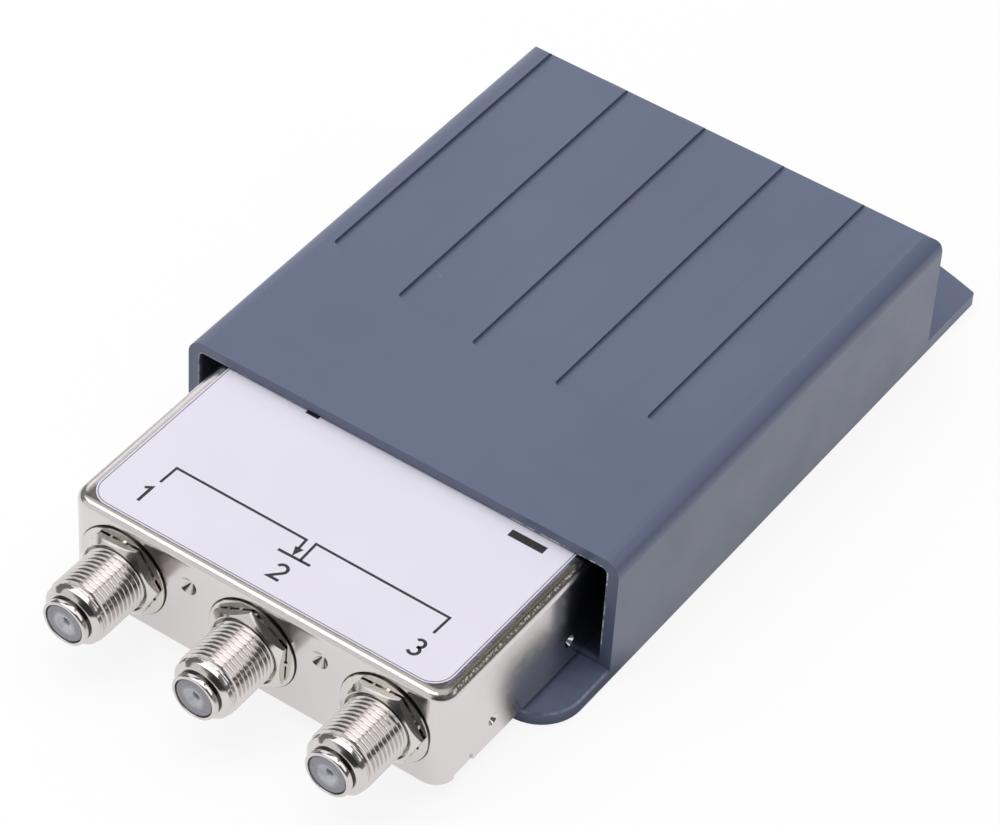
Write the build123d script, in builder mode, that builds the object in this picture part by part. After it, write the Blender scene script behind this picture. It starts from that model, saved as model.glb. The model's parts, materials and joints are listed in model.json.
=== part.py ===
from build123d import *

import os
from math import cos, radians, sin, sqrt

# Two-way aerial signal splitter with F-type ports, carried in a slide-on weather sleeve.
# Lengths are in millimetres. The origin is on the sleeve's underside, in the middle of its mouth:
# +X is to the right, +Y runs from the mouth to the closed end and +Z is up.
# At rest the metal box stands part of its depth out of the mouth.

# Working values
overrun = 1.0  # how far a cutting tool stands past the surface that it opens

# Metal box, drawn from sheet, with a tray pressed in from below
box_width = 60.0
box_depth = 57.0
box_height = 16.4
box_corner_radius = 2.85
box_edge_radius = 1.4
box_reveal = 31.1  # how far the box stands out of the sleeve's mouth at rest
sheet = 0.6
sheet_gap = 0.05  # between the box's walls and the tray's upturned edges
front_flange_margin = 0.7  # of the tray's tall front edge, above the ports' holes
front_flange_corner_radius = 2.0
front_dent_drop = 4.85  # from the top of the box down to the dents in its front wall
front_dent_radius = 1.4
side_dent_rise = 4.0  # from the box's bottom edge up to the dents in its side walls
side_dent_radius = 0.95
side_dent_setbacks = (11.1, 28.2)  # behind the front wall
dent_depth = 0.85
dent_tip_share = 0.2  # of a dent's radius, left flat at its bottom
dent_wall = 0.3  # of the bump that a dent leaves on the inside
dent_hole_gap = 0.1  # round the bump in the tray
notch_width = 4.2  # of the pry recess at the right wall's bottom edge
notch_height = 1.7
notch_depth = 0.3
notch_setback = 2.8  # behind the front wall
notch_corner_radius = 1.2

# Label on top of the box
label_thickness = 0.1
label_front_margin = 1.25
label_side_margin = 1.85
label_corner_radius = 3.2

# Sleeve
side_space = 3.0  # between the box's side and the sleeve's side wall
side_wall = 1.8
roof = 1.6
rear_wall = 1.8
base_plate = 2.0
roof_gap = 0.3  # between the label and the sleeve's roof
slide_gap = 0.2  # between the box and the ledges that it runs on
sleeve_length = 80.1
roof_edge_radius = 2.5
ceiling_corner_radius = 0.9
rear_edge_radius = 1.3  # of the roof's rear edge
ledge_height = 0.6
ledge_width = 6.5
guide_gap = 0.3  # between the box's side and a guide rib
guide_thickness = 1.2
guide_height = 5.0
guide_setback = 12.0  # behind the mouth
guide_lead_share = 0.4  # of a rib's thickness, taken off its leading corners

# Fixing tongue in front of the mouth and fixing tab behind the closed end
tongue_length = 13.1
tongue_corner_radius = 6.5
tongue_edge_chamfer = 0.3
tab_length = 18.2  # on the centre line
tab_arc_radius = 115.0
tab_corner_radius = 0.6
screw_hole_radius = 2.2
screw_sink_radius = 3.1
tongue_hole_inset = 6.5  # behind the tongue's front edge
tab_hole_inset = 9.0  # in front of the tab's rear edge

# Sunk panels in the sleeve's roof
panel_count = 5
panel_width = 9.1
panel_depth = 0.6
panel_side_land = 3.7  # between the outer panels and the sleeve's sides
panel_front = 22.4  # behind the mouth, on the centre line
panel_arc_radius = 100.0
panel_corner_radius = 0.6

# F-type ports, on a line across the front wall
port_count = 3
port_drop = 0.3  # from the middle of the front wall's height down to the ports' axes
port_side_margin = 9.0  # between the box's side and the outer ports' axes
thread_radius = 9.525 / 2  # crests of a 3/8-32 thread
shank_relief = 0.16  # the shank under the nut has the thread's middle radius, this much smaller
thread_clearance = 0.03  # around the shank in the nut
hole_clearance = 0.14  # around the thread in the washer and the box's walls
washer_thickness = 0.35
washer_rim = 0.5  # past the nut's corners
washer_edge_chamfer = 0.12
lock_thickness = 0.2
lock_rim = 0.9  # from the hole to the tips of the lock washer's teeth
lock_tooth_count = 17
lock_tooth_width = 0.45
lock_tooth_length = 0.5
nut_thickness = 1.35
nut_wall = 0.79  # from the thread to the flats
nut_sink = 0.44  # of the nut's bore, past the thread at its face
nut_sink_depth = 0.5
nut_face_rim = 0.15  # flat ring left at the nut's face, between its two chamfers
nut_chamfer_length = 0.85  # at the corners
nut_turns = (4.0, 28.0, 5.0)  # degrees, as each nut happened to be tightened
barrel_reach = 12.3  # from the front wall to the nose
nose_length = 2.55  # from the end of the thread to the nose
band_length = 1.3
band_back_step = 0.16  # below the thread's crests
band_waist_step = 0.24
band_front_step = 0.91
band_taper_length = 0.65
crest_chamfer = 0.3
groove_width = 0.35
groove_wall = 0.3
rim_wall = 0.5
rim_chamfer_share = 0.4  # of the rim's wall
bore_radius = 3.0
barrel_flange_rim = 0.8  # past the port's hole
barrel_flange_thickness = 1.2
spigot_wall = 0.75
spigot_length = 1.6

# Insulators and centre contacts
insulator_clearance = 0.05
insulator_recess = 0.15  # behind the nose
insulator_edge_chamfer = 0.2
insulator_back_inset = 0.2
socket_radius = 0.6
socket_length = 2.0
lead_in_radius = 1.25
lead_in_depth = 0.6
contact_radius = 0.85
contact_wall = 0.47
contact_clearance = 0.08
contact_slot = 0.25
contact_slot_length = 4.0
contact_plug_length = 1.5
tail_radius = 0.4
tail_overlap = 4.0  # over the circuit board

# Circuit board and what is soldered to it
board_thickness = 1.0
board_clearance = 0.15  # to the box's walls
board_front_gap = 0.3  # behind the ports' spigots
solder_gap = 0.05  # under tails, cores and bodies
wire = 0.4
wire_gap = 0.1
ring_outer_radius = 2.9
ring_bore_radius = 1.5
ring_length = 3.0
ring_turn_angles = (30.0, 60.0, 90.0, 120.0, 150.0)
twin_core_width = 7.0
twin_core_length = 5.0
twin_core_height = 4.4
twin_bore_radius = 0.95
twin_bore_spacing = 3.4
twin_core_corner_radius = 1.2
twin_turn_count = 2
choke_rod_radius = 1.1
choke_rod_length = 8.0
choke_coil_length = 5.4
choke_coil_pitch = 0.9
resistor_radius = 0.9
resistor_length = 3.4
diode_radius = 0.75
diode_length = 2.8
lead_radius = 0.25
lead_length = 1.2
chip_width = 2.0
chip_length = 1.25
chip_height = 1.1
# Places on the board, as shares of its half width and of its depth behind its front edge
ring_place_shares = (0.0, 0.30)
twin_place_shares = (0.0, 0.56)
choke_place_shares = (-0.62, 0.40)
resistor_place_shares = (0.42, 0.58)
diode_place_shares = (-0.40, 0.22)
chip_place_shares = ((-0.72, 0.24), (0.0, 0.16), (0.72, 0.24))

# Heights
ledge_top = base_plate + ledge_height
box_bottom = ledge_top + slide_gap
box_top = box_bottom + box_height
label_top = box_top + label_thickness
ceiling = label_top + roof_gap
sleeve_height = ceiling + roof
port_rise = box_height / 2 - port_drop
port_z = box_bottom + port_rise
board_top = port_z - tail_radius - solder_gap
board_bottom = board_top - board_thickness

# Places along the sleeve and across it
box_front = -box_reveal
box_rear = box_front + box_depth
box_middle = (box_front + box_rear) / 2
inner_half = box_width / 2 + side_space
sleeve_half = inner_half + side_wall
sleeve_width = 2 * sleeve_half
panel_pitch = (sleeve_width - 2 * panel_side_land - panel_width) / (panel_count - 1)
port_pitch = (box_width - 2 * port_side_margin) / (port_count - 1)
port_xs = [(i - (port_count - 1) / 2) * port_pitch for i in range(port_count)]

# Tray and dents
tray_width = box_width - 2 * (sheet + sheet_gap)
tray_depth = box_depth - 2 * (sheet + sheet_gap)
tray_corner_radius = box_corner_radius - sheet - sheet_gap
front_dent_xs = [(a + b) / 2 for a, b in zip(port_xs, port_xs[1:])]
side_dent_z = box_bottom + side_dent_rise
front_dents = [
    Plane(origin=(x, box_front, box_top - front_dent_drop), z_dir=(0, -1, 0)) for x in front_dent_xs
]
side_dents = [
    Plane(origin=(side * box_width / 2, box_front + setback, side_dent_z), z_dir=(side, 0, 0))
    for side in (-1, 1)
    for setback in side_dent_setbacks
]
dent_groups = ((front_dents, front_dent_radius), (side_dents, side_dent_radius))

# Base plate
tab_end = sleeve_length + tab_length
tab_side_y = tab_end - tab_arc_radius + sqrt(tab_arc_radius**2 - sleeve_half**2)
tongue_hole_y = tongue_hole_inset - tongue_length
tab_hole_y = tab_end - tab_hole_inset
guide_spacing = box_width + 2 * guide_gap + guide_thickness

# Lengths along a port's axis, from the front wall's outer face, outward is positive
case_wall_back = -sheet
flange_face = -(2 * sheet + sheet_gap)
flange_back = flange_face - barrel_flange_thickness
spigot_back = flange_back - spigot_length
nut_back = washer_thickness + lock_thickness
nut_front = nut_back + nut_thickness
thread_end = barrel_reach - nose_length
groove_back = thread_end + band_length
groove_front = groove_back + groove_width
insulator_face = barrel_reach - insulator_recess
insulator_back = spigot_back + insulator_back_inset
socket_back = insulator_face - lead_in_depth - socket_length
contact_front = socket_back - contact_clearance
tail_back = spigot_back - board_front_gap - tail_overlap

# Radii round a port's axis
shank_radius = thread_radius - shank_relief
nut_bore_radius = shank_radius + thread_clearance
nut_flat_radius = thread_radius + nut_wall
nut_corner_radius = nut_flat_radius * 2 / sqrt(3)
washer_radius = nut_corner_radius + washer_rim
port_hole_radius = thread_radius + hole_clearance
barrel_flange_radius = port_hole_radius + barrel_flange_rim
lock_radius = port_hole_radius + lock_rim
nut_sink_radius = thread_radius + nut_sink
insulator_radius = bore_radius - insulator_clearance
contact_bore_radius = contact_radius - contact_wall
nut_face_radius = nut_sink_radius + nut_face_rim
cone_radius = nut_corner_radius + overrun
cone_drop = nut_chamfer_length * (cone_radius - nut_face_radius) / (nut_corner_radius - nut_face_radius)
ring_section = ring_outer_radius - ring_bore_radius

# Circuit board
board_half = box_width / 2 - sheet - board_clearance
board_front = box_front - spigot_back + board_front_gap
board_rear = box_rear - sheet - board_clearance
board_depth = board_rear - board_front
board_corner_radius = box_corner_radius - sheet - board_clearance

os.makedirs("parts", exist_ok=True)


def port_face(x, out=0):
    """The plane square to a port's axis, facing outward, at a length out from the front wall."""
    return Plane(origin=(x, box_front - out, port_z), x_dir=(1, 0, 0), z_dir=(0, -1, 0))


def port_section(x):
    """The plane through a port's axis: its x is the radius and its y the length out from the wall."""
    return Plane(origin=(x, box_front, port_z), x_dir=(1, 0, 0), z_dir=(0, 0, -1))


def port_axis(x):
    return Axis((x, box_front, port_z), (0, -1, 0))


def dent_radius_at(radius, depth):
    """The radius of a dent's cone at a depth below the wall's face."""
    return radius * (1 - (1 - dent_tip_share) * depth / dent_depth)


def board_place(shares, rise=0):
    """A point over the board, from shares of its half width and its depth."""
    return (board_half * shares[0], board_front + board_depth * shares[1], board_top + rise)


# Weather sleeve: hood, base plate, fixing tongue and fixing tab in one moulding

with BuildPart() as weather_sleeve:
    # Hood, with its roof edges rounded along its length
    with BuildSketch(Plane.XZ) as hood_profile:
        Rectangle(sleeve_width, sleeve_height, align=(Align.CENTER, Align.MIN))
        fillet(hood_profile.vertices().group_by(Axis.Y)[-1], radius=roof_edge_radius)
    extrude(amount=-sleeve_length)

    # The roof's rear edge, rounded across its whole width
    with BuildSketch(Plane.YZ.offset(-(sleeve_half + overrun))):
        with Locations((sleeve_length - rear_edge_radius, sleeve_height - rear_edge_radius)):
            Rectangle(
                rear_edge_radius + overrun,
                rear_edge_radius + overrun,
                align=(Align.MIN, Align.MIN),
            )
            Circle(rear_edge_radius, mode=Mode.SUBTRACT)
    extrude(amount=sleeve_width + 2 * overrun, mode=Mode.SUBTRACT)

    # Inside of the hood, open at the mouth
    with BuildSketch(Plane.XZ.offset(overrun)) as cavity_profile:
        with Locations((0, base_plate)):
            Rectangle(2 * inner_half, ceiling - base_plate, align=(Align.CENTER, Align.MIN))
        fillet(cavity_profile.vertices().group_by(Axis.Y)[-1], radius=ceiling_corner_radius)
    extrude(amount=-(overrun + sleeve_length - rear_wall), mode=Mode.SUBTRACT)

    # Sunk panels, whose front ends follow one shallow arc
    panel_run = sleeve_length + overrun - panel_front
    with BuildSketch(Plane.XY.offset(sleeve_height)) as panels:
        with Locations((0, panel_front + panel_run / 2)):
            with GridLocations(panel_pitch, panel_run, panel_count, 1):
                Rectangle(panel_width, panel_run)
        with Locations((0, panel_front + panel_arc_radius)):
            Circle(panel_arc_radius, mode=Mode.INTERSECT)
        panel_corners = panels.vertices().filter_by_position(Axis.Y, 0, sleeve_length)
        fillet(panel_corners, radius=panel_corner_radius)
    extrude(amount=-panel_depth, mode=Mode.SUBTRACT)

    # Base plate, with the tongue in front and the tab behind
    with BuildSketch() as plate_outline:
        with BuildLine():
            tab_side = Polyline(
                (-sleeve_half, tab_side_y),
                (-sleeve_half, -tongue_length),
                (sleeve_half, -tongue_length),
                (sleeve_half, tab_side_y),
            )
            ThreePointArc(tab_side @ 0, (0, tab_end), tab_side @ 1)
        make_face()
        fillet(plate_outline.vertices().group_by(Axis.Y)[0], radius=tongue_corner_radius)
        fillet(plate_outline.vertices().group_by(Axis.Y)[-1], radius=tab_corner_radius)
    extrude(amount=base_plate)
    tongue_edge = weather_sleeve.edges().filter_by_position(Axis.Z, base_plate, base_plate)
    tongue_edge = tongue_edge.filter_by_position(Axis.Y, -tongue_length, 0, inclusive=(True, False))
    chamfer(tongue_edge, length=tongue_edge_chamfer)

    # Ledges that the metal box runs on
    with BuildSketch(Plane.XZ):
        with Locations((0, base_plate)):
            with GridLocations(2 * inner_half - ledge_width, ledge_height, 2, 1):
                Rectangle(ledge_width, ledge_height, align=(Align.CENTER, Align.MIN))
    extrude(amount=-(sleeve_length - rear_wall))

    # Ribs that guide the box's sides
    with BuildSketch(Plane.XZ.offset(-guide_setback)):
        with Locations((0, ledge_top)):
            with GridLocations(guide_spacing, guide_height, 2, 1):
                Rectangle(guide_thickness, guide_height, align=(Align.CENTER, Align.MIN))
    extrude(amount=-(sleeve_length - rear_wall - guide_setback))
    guide_ends = weather_sleeve.edges().filter_by(Axis.Z)
    guide_ends = guide_ends.filter_by_position(Axis.Y, guide_setback, guide_setback)
    chamfer(guide_ends, length=guide_lead_share * guide_thickness)

    # Screw holes in the tongue and the tab
    with Locations((0, tongue_hole_y, base_plate), (0, tab_hole_y, base_plate)):
        CounterSinkHole(screw_hole_radius, screw_sink_radius, depth=base_plate)

weather_sleeve.part.label = "weather_sleeve"
export_step(weather_sleeve.part, "parts/weather_sleeve.step")


# Case: a drawn metal shell, open below

with BuildPart() as case:
    with BuildSketch(Plane.XY.offset(box_bottom)):
        with Locations((0, box_middle)):
            RectangleRounded(box_width, box_depth, box_corner_radius)
    extrude(amount=box_height)
    fillet(case.faces().sort_by(Axis.Z)[-1].edges(), radius=box_edge_radius)
    offset(amount=-sheet, openings=case.faces().sort_by(Axis.Z)[0])

    # Holes for the ports
    with BuildSketch(*[port_face(x, overrun) for x in port_xs]):
        Circle(port_hole_radius)
    extrude(amount=-(sheet + 2 * overrun), mode=Mode.SUBTRACT)

    # Dents that lock the tray in: in the front wall between the ports, and in both side walls
    for planes, radius in dent_groups:
        with Locations(*[plane.offset(-sheet) for plane in planes]):
            Cone(
                bottom_radius=dent_tip_share * radius + dent_wall,
                top_radius=dent_radius_at(radius, sheet) + dent_wall,
                height=dent_depth + dent_wall - sheet,
                align=(Align.CENTER, Align.CENTER, Align.MAX),
            )
        with Locations(*planes):
            Cone(
                bottom_radius=dent_tip_share * radius,
                top_radius=radius,
                height=dent_depth,
                align=(Align.CENTER, Align.CENTER, Align.MAX),
                mode=Mode.SUBTRACT,
            )

    # Pry recess at the right wall's bottom edge
    with BuildSketch(Plane.YZ.offset(box_width / 2)) as notch:
        with Locations((box_front + notch_setback, box_bottom)):
            Rectangle(notch_width, notch_height, align=(Align.MIN, Align.MIN))
        fillet(notch.vertices().group_by(Axis.Y)[-1], radius=notch_corner_radius)
    extrude(amount=-notch_depth, mode=Mode.SUBTRACT)

case.part.label = "case"
export_step(case.part, "parts/case.step")


# Lid tray: closes the case from below, carries the board and is clamped behind the ports

with BuildPart() as lid_tray:
    with BuildSketch(Plane.XY.offset(box_bottom)):
        with Locations((0, box_middle)):
            RectangleRounded(tray_width, tray_depth, tray_corner_radius)
    extrude(amount=board_bottom - box_bottom)
    offset(amount=-sheet, openings=lid_tray.faces().sort_by(Axis.Z)[-1])

    # Tall front edge, with the ports' holes
    with BuildSketch(port_face(0, case_wall_back - sheet_gap)) as front_edge:
        with Locations((0, -port_rise)):
            Rectangle(
                tray_width - 2 * tray_corner_radius,
                port_rise + port_hole_radius + front_flange_margin,
                align=(Align.CENTER, Align.MIN),
            )
        fillet(front_edge.vertices().group_by(Axis.Y)[-1], radius=front_flange_corner_radius)
    extrude(amount=-sheet)
    with BuildSketch(*[port_face(x) for x in port_xs]):
        Circle(port_hole_radius)
    extrude(amount=flange_face - overrun, mode=Mode.SUBTRACT)

    # Holes that the case's dents snap into
    for planes, radius in dent_groups:
        with BuildSketch(*planes):
            Circle(dent_radius_at(radius, sheet) + dent_wall + dent_hole_gap)
        extrude(amount=flange_face - overrun, mode=Mode.SUBTRACT)

lid_tray.part.label = "lid_tray"
export_step(lid_tray.part, "parts/lid_tray.step")


# Label on the case

with BuildPart() as label:
    with BuildSketch(Plane.XY.offset(box_top)):
        with Locations((0, box_middle)):
            RectangleRounded(
                box_width - 2 * label_side_margin,
                box_depth - 2 * label_front_margin,
                label_corner_radius,
            )
    extrude(amount=label_thickness)

label.part.label = "label"
export_step(label.part, "parts/label.step")


# Ports: barrel, washer, nut, insulator and centre contact

for number, x in enumerate(port_xs, start=1):
    # Barrel, turned: spigot and flange inside the box, shank, thread, tapered band, groove and nose rim
    with BuildPart() as barrel:
        with BuildSketch(port_section(x)) as barrel_profile:
            with BuildLine():
                Polyline(
                    (bore_radius, spigot_back),
                    (bore_radius + spigot_wall, spigot_back),
                    (bore_radius + spigot_wall, flange_back),
                    (barrel_flange_radius, flange_back),
                    (barrel_flange_radius, flange_face),
                    (shank_radius, flange_face),
                    (shank_radius, nut_front),
                    (thread_radius, nut_front),
                    (thread_radius, thread_end - crest_chamfer),
                    (thread_radius - band_back_step, thread_end),
                    (thread_radius - band_waist_step, groove_back - band_taper_length),
                    (thread_radius - band_front_step, groove_back),
                    (bore_radius + groove_wall, groove_back),
                    (bore_radius + groove_wall, groove_front),
                    (bore_radius + rim_wall, groove_front),
                    (bore_radius + rim_wall, barrel_reach),
                    (bore_radius, barrel_reach),
                    close=True,
                )
            make_face()
            rim_corners = barrel_profile.vertices().group_by(Axis.Y)[-2].sort_by(Axis.X)[-1:]
            rim_corners += barrel_profile.vertices().group_by(Axis.Y)[-1]
            chamfer(rim_corners, length=rim_chamfer_share * rim_wall)
        revolve(axis=port_axis(x))
    barrel.part.label = f"port_{number}_barrel"
    export_step(barrel.part, f"parts/port_{number}_barrel.step")

    # Washer against the case
    with BuildPart() as washer:
        with BuildSketch(port_face(x)):
            Circle(washer_radius)
            Circle(port_hole_radius, mode=Mode.SUBTRACT)
        extrude(amount=washer_thickness)
        outer_edge = washer.edges().group_by(Axis.Y)[0].sort_by(SortBy.LENGTH)[-1]
        chamfer(outer_edge, length=washer_edge_chamfer)
    washer.part.label = f"port_{number}_washer"
    export_step(washer.part, f"parts/port_{number}_washer.step")

    # Lock washer: a narrow ring with teeth round it
    with BuildPart() as lock_washer:
        with BuildSketch(port_face(x, washer_thickness)):
            Circle(lock_radius - lock_tooth_length)
            with PolarLocations(lock_radius - lock_tooth_length, lock_tooth_count):
                Rectangle(2 * lock_tooth_length, lock_tooth_width)
            Circle(port_hole_radius, mode=Mode.SUBTRACT)
        extrude(amount=lock_thickness)
    lock_washer.part.label = f"port_{number}_lock_washer"
    export_step(lock_washer.part, f"parts/port_{number}_lock_washer.step")

    # Hexagon nut, with its corners and its bore chamfered at the face
    with BuildPart() as nut:
        with BuildSketch(port_face(x, nut_back)):
            RegularPolygon(
                radius=nut_flat_radius,
                side_count=6,
                major_radius=False,
                rotation=nut_turns[(number - 1) % len(nut_turns)],
            )
            Circle(nut_bore_radius, mode=Mode.SUBTRACT)
        extrude(amount=nut_thickness)
        with BuildSketch(port_section(x)):
            with BuildLine():
                Polyline(
                    (nut_bore_radius - overrun, -overrun),
                    (cone_radius, -overrun),
                    (cone_radius, nut_front - cone_drop),
                    (nut_face_radius, nut_front),
                    (nut_sink_radius, nut_front),
                    (nut_bore_radius, nut_front - nut_sink_depth),
                    (nut_bore_radius - overrun, nut_front - nut_sink_depth),
                    close=True,
                )
            make_face()
        revolve(axis=port_axis(x), mode=Mode.INTERSECT)
    nut.part.label = f"port_{number}_nut"
    export_step(nut.part, f"parts/port_{number}_nut.step")

    # Insulator, with the socket's lead-in in its face
    with BuildPart() as insulator:
        with BuildSketch(port_section(x)):
            with BuildLine():
                Polyline(
                    (contact_radius + contact_clearance, insulator_back),
                    (insulator_radius, insulator_back),
                    (insulator_radius, insulator_face - insulator_edge_chamfer),
                    (insulator_radius - insulator_edge_chamfer, insulator_face),
                    (lead_in_radius, insulator_face),
                    (socket_radius, insulator_face - lead_in_depth),
                    (socket_radius, socket_back),
                    (contact_radius + contact_clearance, socket_back),
                    close=True,
                )
            make_face()
        revolve(axis=port_axis(x))
    insulator.part.label = f"port_{number}_insulator"
    export_step(insulator.part, f"parts/port_{number}_insulator.step")

    # Centre contact: a slit spring tube with a tail that is soldered to the board
    with BuildPart() as contact:
        with BuildSketch(port_section(x)):
            with BuildLine():
                Polyline(
                    (0, tail_back),
                    (tail_radius, tail_back),
                    (tail_radius, insulator_back),
                    (contact_radius, insulator_back),
                    (contact_radius, contact_front),
                    (contact_bore_radius, contact_front),
                    (contact_bore_radius, insulator_back + contact_plug_length),
                    (0, insulator_back + contact_plug_length),
                    close=True,
                )
            make_face()
        revolve(axis=port_axis(x))
        with BuildSketch(port_face(x, contact_front + overrun)):
            Rectangle(contact_slot, 2 * (contact_radius + overrun))
        extrude(amount=-(overrun + contact_slot_length), mode=Mode.SUBTRACT)
    contact.part.label = f"port_{number}_contact"
    export_step(contact.part, f"parts/port_{number}_contact.step")


# Circuit board, resting on the tray's side edges

with BuildPart() as circuit_board:
    with BuildSketch(Plane.XY.offset(board_bottom)):
        with Locations((0, (board_front + board_rear) / 2)):
            RectangleRounded(2 * board_half, board_depth, board_corner_radius)
    extrude(amount=board_thickness)

circuit_board.part.label = "circuit_board"
export_step(circuit_board.part, "parts/circuit_board.step")


# Matching transformer: a ferrite ring on edge, with its turns round the upper half

ring_centre = board_place(ring_place_shares, solder_gap + ring_outer_radius)

with BuildPart() as matching_core:
    with BuildSketch(Plane(origin=ring_centre, x_dir=(0, 1, 0), z_dir=(1, 0, 0))):
        Circle(ring_outer_radius)
        Circle(ring_bore_radius, mode=Mode.SUBTRACT)
    extrude(amount=ring_length / 2, both=True)

matching_core.part.label = "matching_core"
export_step(matching_core.part, "parts/matching_core.step")

with BuildPart() as matching_winding:
    for angle in ring_turn_angles:
        along, up = cos(radians(angle)), sin(radians(angle))
        turn = Plane(origin=ring_centre, x_dir=(0, along, up), z_dir=(0, -up, along))
        with BuildSketch(turn):
            with Locations(((ring_outer_radius + ring_bore_radius) / 2, 0)):
                Rectangle(ring_section + 2 * (wire_gap + wire), ring_length + 2 * (wire_gap + wire))
                Rectangle(ring_section + 2 * wire_gap, ring_length + 2 * wire_gap, mode=Mode.SUBTRACT)
        extrude(amount=wire / 2, both=True)

matching_winding.part.label = "matching_winding"
export_step(matching_winding.part, "parts/matching_winding.step")


# Splitting transformer: a two-hole ferrite core, wound through both holes

twin_centre = board_place(twin_place_shares, solder_gap + twin_core_height / 2)

with BuildPart() as splitter_core:
    with BuildSketch(Plane(origin=twin_centre, x_dir=(1, 0, 0), z_dir=(0, -1, 0))):
        RectangleRounded(twin_core_width, twin_core_height, twin_core_corner_radius)
        with GridLocations(twin_bore_spacing, twin_core_height, 2, 1):
            Circle(twin_bore_radius, mode=Mode.SUBTRACT)
    extrude(amount=twin_core_length / 2, both=True)

splitter_core.part.label = "splitter_core"
export_step(splitter_core.part, "parts/splitter_core.step")

with BuildPart() as splitter_winding:
    for i in range(twin_turn_count):
        lift = (i - (twin_turn_count - 1) / 2) * 2 * wire
        with BuildSketch(Plane(origin=twin_centre).offset(lift)):
            Rectangle(twin_bore_spacing + wire, twin_core_length + 2 * (wire_gap + wire))
            Rectangle(twin_bore_spacing - wire, twin_core_length + 2 * wire_gap, mode=Mode.SUBTRACT)
        extrude(amount=wire / 2, both=True)

splitter_winding.part.label = "splitter_winding"
export_step(splitter_winding.part, "parts/splitter_winding.step")


# Choke that passes power to the first port: a ferrite rod in a wire coil

coil_radius = choke_rod_radius + wire_gap + wire / 2
choke_centre = board_place(choke_place_shares, solder_gap + coil_radius + wire / 2)

with BuildPart() as choke_rod:
    with BuildSketch(Plane(origin=choke_centre, x_dir=(1, 0, 0), z_dir=(0, -1, 0))):
        Circle(choke_rod_radius)
    extrude(amount=choke_rod_length / 2, both=True)

choke_rod.part.label = "choke_rod"
export_step(choke_rod.part, "parts/choke_rod.step")

with BuildPart() as choke_coil:
    coil_start = (choke_centre[0], choke_centre[1] - choke_coil_length / 2, choke_centre[2])
    with BuildLine() as coil_path:
        Helix(
            pitch=choke_coil_pitch,
            height=choke_coil_length,
            radius=coil_radius,
            center=coil_start,
            direction=(0, 1, 0),
        )
    with BuildSketch(Plane(origin=coil_path.line @ 0, z_dir=coil_path.line % 0)):
        RegularPolygon(radius=wire / 2, side_count=6)
    sweep(path=coil_path.line, is_frenet=True)

choke_coil.part.label = "choke_coil"
export_step(choke_coil.part, "parts/choke_coil.step")


# Small parts with wire leads, lying across the board

for name, shares, radius, length in (
    ("balance_resistor", resistor_place_shares, resistor_radius, resistor_length),
    ("pass_diode", diode_place_shares, diode_radius, diode_length),
):
    body_centre = board_place(shares, solder_gap + radius)
    lead_reach = length / 2 + lead_length
    with BuildPart() as leaded:
        with BuildSketch(Plane(origin=body_centre, x_dir=(0, 1, 0), z_dir=(1, 0, 0))):
            Circle(radius)
        extrude(amount=length / 2, both=True)
        chamfer(leaded.edges().filter_by(GeomType.CIRCLE), length=lead_radius)
        with BuildSketch(Plane(origin=body_centre, x_dir=(0, 1, 0), z_dir=(1, 0, 0))):
            Circle(lead_radius)
        extrude(amount=lead_reach, both=True)
        with BuildSketch(Plane(origin=body_centre)):
            with GridLocations(2 * (lead_reach - lead_radius), radius, 2, 1):
                Circle(lead_radius)
        extrude(amount=-(radius + solder_gap))
    leaded.part.label = name
    export_step(leaded.part, f"parts/{name}.step")


# Chip capacitors that keep direct current out of the transformers

with BuildPart() as blocking_capacitors:
    with Locations(*[board_place(shares, solder_gap) for shares in chip_place_shares]):
        Box(chip_width, chip_length, chip_height, align=(Align.CENTER, Align.CENTER, Align.MIN))

blocking_capacitors.part.label = "blocking_capacitors"
export_step(blocking_capacitors.part, "parts/blocking_capacitors.step")
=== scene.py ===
import json
import math

import bmesh
import bpy
from mathutils import Matrix, Quaternion, Vector


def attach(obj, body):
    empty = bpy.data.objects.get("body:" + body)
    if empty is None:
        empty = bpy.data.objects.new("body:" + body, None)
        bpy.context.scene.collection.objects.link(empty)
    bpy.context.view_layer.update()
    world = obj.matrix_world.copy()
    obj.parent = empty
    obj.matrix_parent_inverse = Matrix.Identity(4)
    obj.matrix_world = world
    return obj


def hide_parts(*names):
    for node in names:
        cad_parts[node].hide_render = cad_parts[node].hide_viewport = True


# Two-way aerial signal splitter in its weather sleeve. Lengths are in metres, unless a name ends in mm.

MM = 0.001

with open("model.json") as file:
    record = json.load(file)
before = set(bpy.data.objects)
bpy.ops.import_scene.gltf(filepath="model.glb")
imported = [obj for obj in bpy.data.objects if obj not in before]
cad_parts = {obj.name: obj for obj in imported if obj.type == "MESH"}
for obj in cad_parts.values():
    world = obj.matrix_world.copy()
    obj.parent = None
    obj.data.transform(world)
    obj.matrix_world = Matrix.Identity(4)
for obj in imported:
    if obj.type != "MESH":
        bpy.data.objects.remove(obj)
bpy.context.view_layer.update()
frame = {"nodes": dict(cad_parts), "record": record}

# Sleeve, in the row's frame. The mouth is at Y 0.
CAVITY_HALF_MM = 33.0
CAVITY_LOW_MM = 2.0
CAVITY_HIGH_MM = 19.6
CAVITY_END_MM = 78.3
MOUTH_CORNER_MM = 0.9
TONGUE_HALF_MM = 34.8
TONGUE_LENGTH_MM = 13.1

# Metal box and its label
FRONT_Y_MM = -31.1
DRAWN_EDGE_MM = (17.6, 18.4)
LABEL_TOP_MM = 19.3
LABEL_HALF_MM = 28.15
LABEL_FRONT_MM = -29.85
LABEL_REAR_MM = 24.65
LABEL_CORNER_MM = 3.2

# Ports
PORT_PITCH_MM = 21.0
PORT_XS_MM = (-PORT_PITCH_MM, 0.0, PORT_PITCH_MM)
PORT_Z_MM = 10.7

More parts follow.
